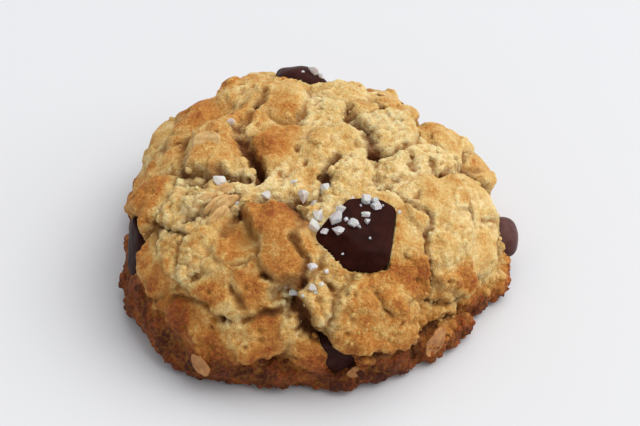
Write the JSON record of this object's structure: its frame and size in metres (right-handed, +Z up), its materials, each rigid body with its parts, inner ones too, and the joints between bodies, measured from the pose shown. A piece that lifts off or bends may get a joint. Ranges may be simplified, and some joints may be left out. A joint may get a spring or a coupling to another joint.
{
  "type": "oatmeal cookie",
  "caption": "Mounded round oatmeal cookie with a cracked, lumpy crust, a browned foot, chocolate chunks set in the dough, coarse salt and rolled oats. Rests on its flat underside.",
  "frame": {"origin": "middle of the flat underside, on the surface that the cookie rests on", "axes": "+Z up through the crown, -Y towards the side where the largest chunk shows, +X to the right seen from there"},
  "size_m": [0.0772, 0.0775, 0.0313],
  "materials": {
    "dough": "baked dough, matte and sandy, golden on the crown and brown at the foot",
    "chocolate": "dark chocolate, soft satin sheen"
  },
  "bodies": {
    "root": {"dough": "dough", "chunk_top": "chocolate", "chunk_back": "chocolate", "chunk_left": "chocolate", "chunk_front": "chocolate", "chunk_right": "chocolate"}
  },
  "joints": []
}
